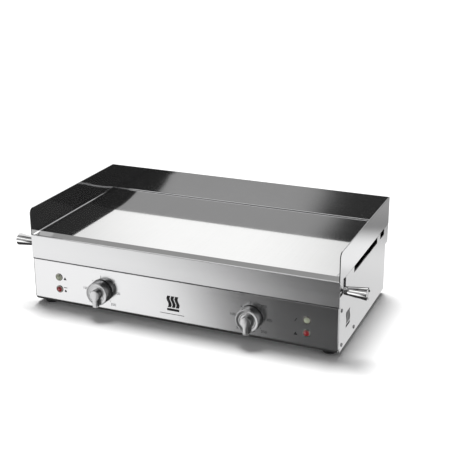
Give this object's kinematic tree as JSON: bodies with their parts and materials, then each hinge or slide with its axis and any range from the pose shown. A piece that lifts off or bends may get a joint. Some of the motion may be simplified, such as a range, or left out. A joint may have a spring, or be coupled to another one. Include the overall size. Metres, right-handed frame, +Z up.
{
  "type": "flat top griddle",
  "caption": "Electric counter-top flat top griddle with a polished plate, a splash guard on its back and sides, dial thermostats, pilot lamps and a front drip trough that slides out.",
  "frame": {"origin": "on the table, under the centre of the whole griddle's plan (handles and knobs included)", "axes": "+X to the operator's right, +Y to the rear, +Z up"},
  "size_m": [0.8, 0.401, 0.223],
  "materials": {
    "satin_steel": "satin stainless sheet, fine horizontal grain",
    "guard_steel": "bright stainless sheet, near-mirror",
    "plate_steel": "mirror-polished cooking plate",
    "trough_steel": "dull stainless sheet",
    "handle_steel": "turned and polished stainless",
    "knob_metal": "satin chromed metal",
    "ring_black": "black moulded ring",
    "bezel_chrome": "bright plated bezel",
    "lens_clear": "clear lens with a green tint",
    "lens_red": "red lens",
    "foot_rubber": "black moulded rubber",
    "element_sheath": "dark oxidised sheath",
    "inner_steel": "galvanised sheet",
    "control_ceramic": "pale steatite",
    "sensor_copper": "drawn copper",
    "gland_plastic": "black polyamide",
    "stud_brass": "turned brass",
    "screw_steel": "stainless fasteners"
  },
  "bodies": {
    "housing": {"back_panel": "satin_steel", "base_pan": "inner_steel", "cable_gland": "gland_plastic", "dial_ring_left": "ring_black", "dial_ring_right": "ring_black", "earth_stud": "stud_brass", "element_clamp_left": "inner_steel", "element_clamp_right": "inner_steel", "foot_front_left": "foot_rubber", "foot_front_right": "foot_rubber", "foot_rear_left": "foot_rubber", "foot_rear_right": "foot_rubber", "foot_screw_front_left": "screw_steel", "foot_screw_front_right": "screw_steel", "foot_screw_rear_left": "screw_steel", "foot_screw_rear_right": "screw_steel", "front_panel": "satin_steel", "gland_locknut": "gland_plastic", "griddle_plate": "plate_steel", "heat_shield": "inner_steel", "heating_element_left": "element_sheath", "heating_element_right": "element_sheath", "lamp_bezel_left_lower": "bezel_chrome", "lamp_bezel_left_upper": "bezel_chrome", "lamp_bezel_right_lower": "bezel_chrome", "lamp_bezel_right_upper": "bezel_chrome", "lamp_lens_left_lower": "lens_red", "lamp_lens_left_upper": "lens_clear", "lamp_lens_right_lower": "lens_red", "lamp_lens_right_upper": "lens_clear", "plate_bearer_front": "inner_steel", "plate_bearer_rear": "inner_steel", "rear_channel": "satin_steel", "side_panel_left": "satin_steel", "side_panel_right": "satin_steel", "side_screws_left": "screw_steel", "side_screws_right": "screw_steel", "splash_guard": "guard_steel", "temperature_sensor_left": "sensor_copper", "temperature_sensor_right": "sensor_copper", "terminal_block": "control_ceramic", "thermostat_left": "control_ceramic", "thermostat_right": "control_ceramic", "trough_runner_left": "inner_steel", "trough_runner_right": "inner_steel"},
    "drip_trough": {"trough_front": "satin_steel", "trough_pan": "trough_steel", "handle_left": "handle_steel", "handle_right": "handle_steel", "handle_screw_left": "screw_steel", "handle_screw_right": "screw_steel"},
    "knob_left": {"knob_left": "knob_metal", "knob_cap_left": "knob_metal", "knob_pointer_left": "knob_metal", "knob_shaft_left": "screw_steel"},
    "knob_right": {"knob_right": "knob_metal", "knob_cap_right": "knob_metal", "knob_pointer_right": "knob_metal", "knob_shaft_right": "screw_steel"}
  },
  "joints": [
    {"name": "drip_trough_slide", "type": "slide", "parent": "housing", "child": "drip_trough", "axis": [0, -1, 0], "range_m": [0, 0.08]},
    {"name": "knob_left_turn", "type": "hinge", "parent": "housing", "child": "knob_left", "pos_m": [-0.1795, -0.165, 0.058], "axis": [0, 1, 0], "range_deg": [0, 315]},
    {"name": "knob_right_turn", "type": "hinge", "parent": "housing", "child": "knob_right", "pos_m": [0.1665, -0.165, 0.058], "axis": [0, 1, 0], "range_deg": [0, 315]}
  ]
}
